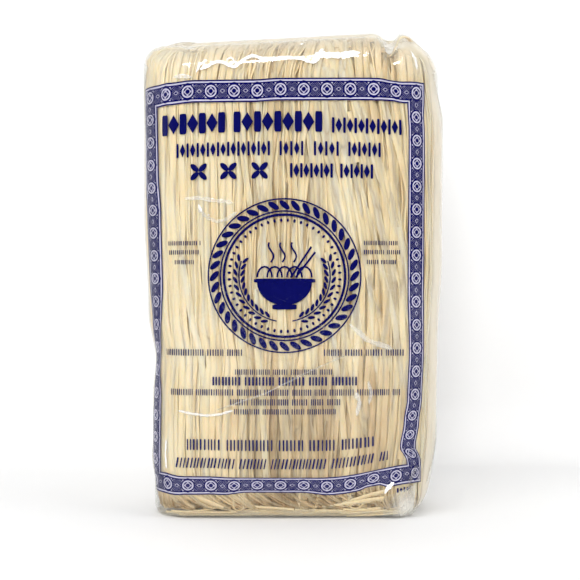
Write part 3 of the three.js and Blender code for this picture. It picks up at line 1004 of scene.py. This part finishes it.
crumpled_finish = clear_film("crumpled_film", 0.02, white=(0.9, 0.87, 0.8))
crumple = leaf("film_corner_crumple", 22, 17, crumple_sheet(0.14), crumple_sheet(0.0), crumpled_finish, False)
points = np.array([v.co for v in crumple.data.vertices]) * 1000
mark(crumple, "veil", 0.4 * ease(46, 54, points[:, 0]) * ease(18, 5, points[:, 2]))


# ---- The print -----------------------------------------------------------------------------------------
# Navy ink over a pale one, on the inside of the film: a border of roundels and lattice between thin rules,
# rows of small bars, and a round badge with a bowl and ears of rice. It is drawn flat, then laid in.


def ink(name, colour, rough):
    """Matt ink, a little uneven."""
    p = Paint(name)
    place = p.add("ShaderNodeTexCoord", {})[OBJECT]
    grain = p.add("ShaderNodeTexNoise", {}, Vector=place, Scale=420.0, Detail=2.0)[0]
    patch = p.add("ShaderNodeTexNoise", {}, Vector=place, Scale=40.0, Detail=2.0)[0]
    lighter = tuple(min(1.0, c * 1.5 + 0.002) for c in colour)
    shade = p.blend((grain * 0.6 + patch * 0.7 - 0.25).between(0.0, 1.0), colour, lighter)
    finish = {"Base_Color": shade, "Roughness": rough + grain * 0.1, "Specular_IOR_Level": 0.0}
    return p.finish(p.add("ShaderNodeBsdfPrincipled", {}, **finish)[0])


navy = ink("navy_ink", (0.0012, 0.0018, 0.07), 0.5)
pale = ink("pale_ink", (0.42, 0.40, 0.50), 0.5)


def stamp_tree():
    """Each host point gets a flat stamp: 0 a bar, 1 a grain, 2 a lozenge, 3 a thin ring, 4 a disc."""
    kinds = ("disc", "ring", "lozenge", "grain", "bar")
    poly, flat, scaled = {"mode": "POLY"}, {"mode": "NGONS"}, {"operation": "SCALE"}
    placing = {"Rotation": "turn.Attribute", "Scale": "size.Attribute"}
    placing |= {"Pick Instance": True, "Instance Index": "stamp.Attribute"}
    return grow(
        "print_stamps",
        {"Bar corner": 0.16, "Ring width": 0.14},
        "stamped.Instances",
        named("INT", "stamp"),
        named("FLOAT_VECTOR", "turn"),
        named("FLOAT_VECTOR", "size"),
        ("square", "CurvePrimitiveQuadrilateral", {}, {"Width": 1.0, "Height": 1.0}),
        ("soft", "FilletCurve", poly, {"Curve": "square.Curve", "Count": 2, "Radius": "in.Bar corner"}),
        ("bar", "FillCurve", flat, {"Curve": "soft.Curve"}),
        ("oval", "CurvePrimitiveCircle", {}, {"Resolution": 14, "Radius": 0.5}),
        ("grain", "FillCurve", flat, {"Curve": "oval.Curve"}),
        ("four", "CurvePrimitiveCircle", {}, {"Resolution": 4, "Radius": 0.5}),
        ("lozenge", "FillCurve", flat, {"Curve": "four.Curve"}),
        ("hoop", "CurvePrimitiveCircle", {}, {"Resolution": 24, "Radius": 0.5}),
        ("to_rim", "ShaderNodeVectorMath", scaled, {0: (0.5, 0.0, 0.0), "Scale": "in.Ring width"}),
        ("to_centre", "ShaderNodeVectorMath", scaled, {0: "to_rim.Vector", "Scale": -1.0}),
        ("section", "CurvePrimitiveLine", {}, {"Start": "to_centre.Vector", "End": "to_rim.Vector"}),
        ("ring", "CurveToMesh", {}, {"Curve": "hoop.Curve", "Profile Curve": "section.Curve"}),
        ("disc", "FillCurve", flat, {"Curve": "hoop.Curve"}),
        *((f"one_{kind}", "GeometryToInstance", {}, {"Geometry": kind + ".Mesh"}) for kind in kinds),
        ("all", "JoinGeometry", {}, {"Geometry": [f"one_{kind}.Instances" for kind in kinds]}),
        ("stamped", "InstanceOnPoints", {}, {"Points": "in.Geometry", "Instance": "all.Geometry"} | placing),
    )


stamps = stamp_tree()
BAR, GRAIN, LOZENGE, RING, DISC = range(5)


class Art:
    """Flat art in millimetres, as it is on the film before the pack is filled."""

    def __init__(self):
        self.points, self.faces, self.stamps = [], [], []

    def stamp(self, kind, x, z, wide, tall, turn=0.0):
        self.stamps.append((kind, x, z, wide, tall, turn))

    def face(self, *corners):
        first = len(self.points)
        self.points += [tuple(map(float, c)) for c in corners]
        self.faces.append(tuple(range(first, first + len(corners))))

    def line(self, path, wide):
        path = [np.array(p, float) for p in path]
        for a, b in zip(path, path[1:]):
            way = (b - a) / max(np.hypot(*(b - a)), 1e-9)
            side, end = np.array([-way[1], way[0]]) * wide / 2, way * wide * 0.18
            self.face(a - side - end, b - side + end, b + side + end, a + side - end)

    def ring(self, x, z, radius, wide, parts):
        angles = np.linspace(0, 2 * math.pi, parts + 1)
        near, far = radius - wide / 2, radius + wide / 2
        for a, b in zip(angles, angles[1:]):
            corners = ((a, near), (a, far), (b, far), (b, near))
            self.face(*((x + r * math.cos(angle), z + r * math.sin(angle)) for angle, r in corners))

    def frame(self, inner, outer):
        """A band round the label, from inner to outer millimetres beyond the label's inner edge."""
        near, far = (
            [(LEFT - r, LOW - r), (RIGHT_SIDE + r, LOW - r), (RIGHT_SIDE + r, HIGH + r), (LEFT - r, HIGH + r)]
            for r in (inner, outer)
        )
        for k in range(4):
            self.face(far[k], far[k - 3], near[k - 3], near[k])

    def flat(self, name, material):
        """All of it as flat points (x, z) and faces."""
        points, faces = list(self.points), list(self.faces)
        if self.stamps:
            kinds, xs, zs, wides, talls, turns = (np.array(c) for c in zip(*self.stamps))
            attributes = {
                "stamp": ("INT", kinds.astype(int)),
                "turn": ("FLOAT_VECTOR", np.stack([0 * turns, 0 * turns, turns], -1)),
                "size": ("FLOAT_VECTOR", np.stack([wides, talls, 1 + 0 * talls], -1)),
            }
            places = np.stack([xs, zs, 0 * xs], -1).tolist()
            host = run_tree(stamps, name + "_stamps", places, [], attributes, {"Material": material})
            first = len(points)
            points += [(v.co.x, v.co.y) for v in host.data.vertices]
            faces += [tuple(first + i for i in f.vertices) for f in host.data.polygons]
            mesh = host.data
            bpy.data.objects.remove(host)
            bpy.data.meshes.remove(mesh)
        return np.array(points), faces


LABEL_MIDDLE, LABEL_HALF, BAND = -4.5, 61.0, 10.3
LEFT, RIGHT_SIDE, LOW, HIGH = LABEL_MIDDLE - LABEL_HALF, LABEL_MIDDLE + LABEL_HALF, 20.0, 198.0
INK_THICK = 0.03

# The slack film is pulled askew at both edges of the label. Each knot has its height, then how far the edge
# is pulled to the right there, or how wide the border's upright band looks.
LEFT_PULL = ((16, 0.2), (24, 1.2), (58, 1.6), (72, 0.0), (85, 1.6), (98, 3.2), (110, 4.0), (144, 3.5))
LEFT_PULL += ((165, 2.0), (200, 1.2))
RIGHT_PULL = ((22, -0.2), (28, -1.0), (34, -4.3), (46, -2.4), (58, -0.7), (80, 0.1), (110, -0.7))
RIGHT_PULL += ((185, -0.2), (197, -0.7))
# The same across the label: how far its upper edge rises at each x, and by what share the lowest band is
# narrower, for it bulges out and is seen at a slant.
TOP_RISE = ((-77, -1.9), (-66, -1.7), (-58, -1.1), (-45, 0.0), (-18, 0.2), (-5, 0.9), (35, 1.0), (48, 0.8))
TOP_RISE += ((55, -0.2), (66, -0.7))
SLACK = ((-60, 0.02), (-49, 0.14), (-33, 0.16), (-20, 0.3), (5, 0.3), (20, 0.16), (32, 0.16), (37, 0.26))
SLACK += ((42, 0.24), (47, 0.04))
LEFT_BAND = ((50, 11.0), (62, 8.6), (75, 7.6), (95, 7.6), (112, 11.4), (200, 12.0))
RIGHT_BAND = ((20, 8.2), (110, 8.8), (190, 8.6), (200, 9.6))


def on_film(x, z, below):
    """Where a point of the flat print lies: the film goes round the corners, and is pulled a little askew."""
    z = z + up_along(SLACK, x) * np.maximum(LOW - z, 0) + 0.05 * np.maximum(z - HIGH, 0)
    bow = 0.95 - 0.0005 * np.minimum(np.abs(x), 63) ** 2
    z = z + bow * ease(110, 188, z) + (up_along(TOP_RISE, x) - bow) * ease(193, 198, z)
    left = 0.5 * ease(-26, -40, x) + 1.1 * ease(-52, -62, x)
    z = z + (6.6 * ease(12, 60, x) ** 1.3 + left) * ease(60, 12, z)
    beyond_left, beyond_right = np.minimum(x - LEFT, 0), np.maximum(x - RIGHT_SIDE, 0)
    pulled = up_along(LEFT_PULL, z) * ease(-60, -65.4, x) + up_along(RIGHT_PULL, z) * ease(44, 54, x)
    pulled = pulled + beyond_left * (up_along(LEFT_BAND, z) / BAND - 1)
    x = x + pulled + beyond_right * (up_along(RIGHT_BAND, z) / BAND - 1)
    return laid(x, z, below)


def print_on(name, art, material, below, step=1.1, tall_step=4.5):
    """Lays flat art on the inside of the film as a thin closed layer, cut fine enough to follow the ribs."""
    flat, faces = art.flat(name, material)
    work = bmesh.new()
    corners = [work.verts.new((x, z, 0.0)) for x, z in flat]
    for face in faces:
        work.faces.new([corners[i] for i in face])
    bmesh.ops.triangulate(work, faces=work.faces)
    for _ in range(9):
        spans = [(edge, edge.verts[0].co - edge.verts[1].co) for edge in work.edges]
        long = [edge for edge, span in spans if abs(span.x) > step or abs(span.y) > tall_step]
        if not long:
            break
        bmesh.ops.subdivide_edges(work, edges=long, cuts=1)
        bmesh.ops.triangulate(work, faces=[f for f in work.faces if len(f.verts) > 3])
    work.verts.index_update()
    flat = np.array([v.co[:2] for v in work.verts])
    tris = np.array([[v.index for v in f.verts] for f in work.faces])
    work.free()
    a, b, c = (flat[tris[:, k]] for k in range(3))
    turned = (b[:, 0] - a[:, 0]) * (c[:, 1] - a[:, 1]) - (c[:, 0] - a[:, 0]) * (b[:, 1] - a[:, 1]) < 0
    tris[turned] = tris[turned][:, ::-1]
    sides = {(int(t[k]), int(t[k - 2])) for t in tris for k in range(3)}
    rims = [(a, b) for a, b in sides if (b, a) not in sides]
    outer, inner = (on_film(flat[:, 0], flat[:, 1], d) for d in (below, below + INK_THICK))
    count = len(flat)
    whole = [tuple(t) for t in tris] + [(count + t[0], count + t[2], count + t[1]) for t in tris]
    whole += [(b, a, count + a, count + b) for a, b in rims]
    in_the_bag(solid_mesh(name, np.concatenate([outer, inner]), whole, material))


# The border: a pale ground between navy rules, with a lattice of fine lines, small triangles and roundels.
ground = Art()
ground.frame(0.25, BAND - 0.25)
print_on("print_border_ground", ground, pale, 0.3)

ACROSS, DOWN = 12, 17  # how many times the pattern repeats along the border's sides
MIDDLES = (LEFT - BAND / 2, RIGHT_SIDE + BAND / 2, LOW - BAND / 2, HIGH + BAND / 2)
centres, between = [], []
for k in range(2 * ACROSS + 1):
    x = MIDDLES[0] + (MIDDLES[1] - MIDDLES[0]) * k / (2 * ACROSS)
    (between if k % 2 else centres).extend([(x, MIDDLES[2], 0), (x, MIDDLES[3], 0)])
for k in range(1, 2 * DOWN):
    z = MIDDLES[2] + (MIDDLES[3] - MIDDLES[2]) * k / (2 * DOWN)
    (between if k % 2 else centres).extend([(MIDDLES[0], z, 1), (MIDDLES[1], z, 1)])

HEAVY, FINE_FROM, FINE_TO = 0.66, 1.4, 1.85  # the rules along both edges of the border
REACH = BAND / 2 - 1.7  # half the width of the field between them
border = Art()
for near, far in ((0.0, HEAVY), (FINE_FROM, FINE_TO)):
    border.frame(near, far)
    border.frame(BAND - far, BAND - near)


def lozenge(art, middle, along, out, long, wide):
    """A lozenge that is long along the band, off a middle by so much along the band and out of it."""
    x, z, upright = middle
    if upright:
        art.stamp(LOZENGE, x + out, z + along, wide, long)
    else:
        art.stamp(LOZENGE, x + along, z + out, long, wide)


ROUNDEL = 7.1  # across
for middle in centres:
    border.stamp(DISC, *middle[:2], ROUNDEL, ROUNDEL)
    for way in (-1, 1):
        # The field is solid ink above and below each roundel.
        lozenge(border, middle, 0, way * (REACH - 0.2), 5.2, 1.7)
for x, z, upright in between:
    for way in (-1, 1):
        for k in range(-4, 5):
            # A lattice line at 45 degrees, cut off at the field's edges.
            shift = 0.95 * k
            low_end, high_end = max(-REACH, -2.7 - shift), min(REACH, 2.7 - shift)
            if high_end - low_end > 0.5:
                ends = [(shift + h, way * h) for h in (low_end, high_end)]
                path = [(x + h[1], z + h[0]) if upright else (x + h[0], z + h[1]) for h in ends]
                border.line(path, 0.42)
        for k in (-1, 0, 1):
            # Triangles point in from both edges, beside each roundel and between them.
            lozenge(border, (x, z, upright), 2.2 * k, way * (REACH - 0.3), 1.6, 1.2)
print_on("print_border_lines", border, navy, 0.22, 1.5)

marks = Art()
for x, z, _ in centres:
    for across_ring in (4.9, 2.4):
        marks.stamp(RING, x, z, across_ring, across_ring)
    for k in range(4):
        turn = k * math.pi / 2
        marks.stamp(GRAIN, x + 1.62 * math.cos(turn), z + 1.62 * math.sin(turn), 0.5, 1.1, turn)
for middle in between:
    lozenge(marks, middle, 0, 0, 2.5, 1.9)
print_on("print_border_marks", marks, pale, 0.14)

hearts = Art()
for middle in between:
    lozenge(hearts, middle, 0, 0, 1.7, 1.2)
print_on("print_border_hearts", hearts, navy, 0.06)

# Where a pack has its wording there are rows of plain bars, some with lozenges between them, and no letters.
rows = Art()
pick = np.random.default_rng(4)


def bar_row(x0, x1, z0, z1, stem, gap, slant=0.0):
    """Thin upright bars in uneven groups."""
    tall, x = z1 - z0, x0
    while x < x1 - stem * tall:
        for _ in range(int(pick.integers(6, 18))):
            wide = stem * tall * pick.uniform(0.8, 1.25)
            if x + wide > x1:
                return
            rows.stamp(BAR, x + wide / 2, (z0 + z1) / 2, wide, tall, slant)
            x += wide + gap * tall * pick.uniform(0.75, 1.3)
        x += 0.4 * tall


def lozenge_row(x0, x1, z0, z1, bar, wide):
    """Bars and wide lozenges by turns, from bar to bar."""
    tall = z1 - z0
    count = max(1, round((x1 - x0 - bar) / (bar + wide + 0.18 * tall)))
    pitch = (x1 - x0 - bar) / count
    for k in range(count + 1):
        rows.stamp(BAR, x0 + bar / 2 + pitch * k, (z0 + z1) / 2, bar, tall)
        if k < count:
            rows.stamp(LOZENGE, x0 + bar / 2 + pitch * (k + 0.5), (z0 + z1) / 2, wide, 0.94 * tall)


for row in (
    (-61.6, -30.7, 183.2, 193.0, 3.4, 5.4),
    (-26.8, 15.3, 183.2, 193.0, 3.4, 5.6),
    (19.8, 53.2, 182.9, 190.2, 1.3, 3.2),
    (-53.9, -9.5, 172.0, 178.8, 1.1, 2.6),
    (-5.0, 6.3, 172.0, 178.8, 1.1, 2.6),
    (11.3, 23.1, 172.0, 178.8, 1.1, 2.6),
    (27.6, 43.0, 172.0, 178.8, 1.1, 2.6),
    (0.0, 20.3, 161.6, 168.4, 1.2, 2.9),
    (23.8, 39.4, 161.6, 168.4, 1.2, 2.9),
    (51.0, 58.6, 6.0, 8.4, 0.9, 1.6),
):
    lozenge_row(*row)
for row in (
    (-58.0, -41.6, 130.2, 132.3, 0.2, 0.25),
    (-57.6, -43.0, 125.9, 128.0, 0.2, 0.25),
    (-54.8, -45.3, 121.2, 123.3, 0.2, 0.25),
    (35.0, 52.0, 130.2, 132.3, 0.2, 0.25),
    (35.0, 52.9, 125.9, 128.0, 0.2, 0.25),
    (36.4, 51.0, 121.2, 123.3, 0.2, 0.25),
    (-60.0, -21.7, 77.8, 80.9, 0.15, 0.2),
    (16.1, 53.9, 77.8, 80.9, 0.15, 0.2),
    (-26.0, 20.3, 68.9, 71.5, 0.16, 0.22),
    (-36.8, 32.1, 63.8, 67.9, 0.2, 0.17),
    (-57.2, 52.9, 59.0, 62.0, 0.15, 0.2),
    (-28.3, 24.6, 54.4, 57.4, 0.15, 0.2),
    (-26.5, 22.2, 50.1, 52.7, 0.16, 0.22),
    (-49.1, 40.6, 32.7, 38.0, 0.14, 0.19),
    (-54.3, 47.7, 24.0, 29.0, 0.14, 0.19, -0.2),
):
    bar_row(*row)
for x in (-43.3, -29.2, -14.4):
    for k in range(4):
        turn = math.pi / 4 + k * math.pi / 2
        rows.stamp(GRAIN, x + 2.75 * math.cos(turn), 165.0 + 2.75 * math.sin(turn), 5.0, 2.6, turn)
print_on("print_bars", rows, navy, 0.13)

# The badge: a rope of rice grains between rings, and in it a steaming bowl between two ears of rice.
badge = Art()
cx, cz = -2.6, 115.6
EARS, BOWL = 21.6, 13.0  # radii
for radius, wide, parts in ((36.1, 0.7, 150), (30.4, 0.7, 130), (28.7, 1.2, 120)):
    badge.ring(cx, cz, radius, wide, parts)


def round_badge(kind, angle, radius, wide, tall, turn):
    """A stamp at this angle and radius from the badge's middle."""
    badge.stamp(kind, cx + radius * math.cos(angle), cz + radius * math.sin(angle), wide, tall, turn)


grains, beads = 40, 52
for k in range(grains):
    angle = 2 * math.pi * k / grains
    round_badge(GRAIN, angle, 33.25, 6.0, 2.7, angle + 0.85)
for k in range(beads):
    angle = 2 * math.pi * (k + 0.5) / beads
    round_badge(GRAIN, angle, 26.2, 1.7, 1.2, angle)
rim = cz - 3.0
wall = [(cx + BOWL * math.cos(a), rim + 10.8 * math.sin(a)) for a in np.linspace(math.pi, 2 * math.pi, 19)]
badge.face(*wall)
badge.stamp(BAR, cx, cz - 2.2, 29.0, 2.0)
badge.stamp(BAR, cx, cz - 14.6, 11.5, 2.4)
for k in range(-2, 3):
    bow = np.linspace(0, math.pi, 9)
    badge.line([(cx + 4.7 * k + 3.5 * math.cos(a), cz - 0.4 + 4.8 * math.sin(a)) for a in bow], 0.85)
for k in (-1, 0, 1):
    steam = np.linspace(0, 1, 12)
    badge.line([(cx + 5.4 * k - 1 + 1.2 * math.sin(h * 5.4), cz + 6.6 + 9.0 * h) for h in steam], 0.85)
for lift in (0.0, 2.3):
    badge.line([(cx + 3.0 + lift, cz - 0.6), (cx + 12.6 + 0.8 * lift, cz + 13.6 - 1.1 * lift)], 0.95)
for side in (-1, 1):
    stem = np.linspace(0.18, 1.9, 16)
    badge.line([(cx + side * EARS * math.sin(a), cz - EARS * math.cos(a)) for a in stem], 0.6)
    for a in np.linspace(0.42, 1.95, 11):
        for out in (-1, 1):
            radius = EARS + out * 1.75
            turn = math.atan2(math.sin(a), side * math.cos(a)) - side * out * 0.5
            badge.stamp(GRAIN, cx + side * radius * math.sin(a), cz - radius * math.cos(a), 3.6, 1.5, turn)
print_on("print_badge", badge, navy, 0.13)


# ---- Floor, light and camera ---------------------------------------------------------------------------
# The pack stands on a white sheet that sweeps up close behind it and hides nothing from behind. A small soft
# light in front models the folds, larger ones at the left, above and at the right fill, and a strip, seen
# only mirrored in the film, adds to the painted highlight of the streak along the top.


def sweep():
    """The white sheet, from behind the camera to high up behind the pack, clear when seen from its back."""
    p = Paint("white_sheet")
    paper = p.add("ShaderNodeBsdfPrincipled", {}, Base_Color=(0.77, 0.77, 0.77, 1.0), Roughness=0.85)[0]
    back_face = p.add("ShaderNodeNewGeometry", {})[6]
    unseen = p.add("ShaderNodeBsdfTransparent", {})[0]
    sheet = p.finish(p.add("ShaderNodeMixShader", {}, back_face, paper, unseen)[0])
    bend, back, high = 40.0, 170.0, 1700.0
    path = [(-2200.0, 0.0), (back - bend, 0.0)]
    turn = np.linspace(0.15, 1.57, 10)
    path += [(back - bend + bend * math.sin(a), bend - bend * math.cos(a)) for a in turn]
    path += [(back, high)]
    points = [(x, y, z - 0.1) for y, z in path for x in (-2600.0, 2600.0)]
    faces = [(2 * k, 2 * k + 1, 2 * k + 3, 2 * k + 2) for k in range(len(path) - 1)]
    return solid_mesh("white_sweep", points, faces, sheet)


sweep()


def softbox(name, place, aim, wide, tall, power, mirrored=False):
    """A soft light that shades what it falls on, or is only seen mirrored in it."""
    light = bpy.data.lights.new(name, "AREA")
    light.shape, light.size, light.size_y, light.energy = "RECTANGLE", wide, tall, power
    lamp = bpy.data.objects.new(name, light)
    bpy.context.scene.collection.objects.link(lamp)
    lamp.location = place
    lamp.rotation_euler = (Vector(aim) - Vector(place)).to_track_quat("-Z", "Y").to_euler()
    lamp.visible_glossy, lamp.visible_diffuse = mirrored, not mirrored


softbox("key", (-0.75, -1.05, 1.05), (0.0, 0.0, 0.12), 1.1, 1.1, 11.0)
softbox("overhead", (0.1, 0.1, 1.5), (0.0, 0.0, 0.0), 1.2, 1.2, 5.5)
softbox("front", (-0.1, -1.5, 0.42), (0.0, 0.0, 0.12), 0.5, 0.5, 14.2)
softbox("right_fill", (1.2, -0.5, 0.5), (0.0, 0.0, 0.12), 0.8, 0.9, 5.5)
softbox("streak", (-0.065, -0.55, 1.30), (-0.025, -0.02, 0.22), 0.31, 0.07, 12.0, mirrored=True)

# The room is white, and dim on the camera's side, where the front of the film would mirror it.
world = bpy.data.worlds.new("studio")
world.use_nodes = True
bpy.context.scene.world = world
room = world.node_tree
around = room.nodes.new("ShaderNodeTexCoord")
parts = room.nodes.new("ShaderNodeSeparateXYZ")
dimmer = room.nodes.new("ShaderNodeMapRange")
dimmer.interpolation_type = "SMOOTHSTEP"
for key, value in (("From Min", -0.9), ("From Max", -0.2), ("To Min", 0.06), ("To Max", 0.75)):
    dimmer.inputs[key].default_value = value
room.links.new(around.outputs["Generated"], parts.inputs["Vector"])
room.links.new(parts.outputs["Y"], dimmer.inputs["Value"])
brighter = room.nodes.new("ShaderNodeMath")
brighter.operation = "MAXIMUM"
room.links.new(dimmer.outputs["Result"], brighter.inputs[0])
room.links.new(room.nodes.new("ShaderNodeLightPath").outputs["Is Camera Ray"], brighter.inputs[1])
room.links.new(brighter.outputs[0], room.nodes["Background"].inputs["Strength"])
room.nodes["Background"].inputs["Color"].default_value = (0.97, 0.985, 1.0, 1.0)

camera = bpy.data.cameras.new("camera")
camera.sensor_width = 36.0
camera.lens = camera.sensor_width * 1120.0 / 580.0  # 29 degrees across
eye = bpy.data.objects.new("camera", camera)
bpy.context.scene.collection.objects.link(eye)
eye.location = (-0.001664, -0.560342, 0.109)
eye.rotation_euler = (math.pi / 2, 0.0, 0.0)
bpy.context.scene.camera = eye
bpy.context.scene.view_settings.view_transform = "Standard"
bpy.context.scene.cycles.transparent_max_bounces = 16
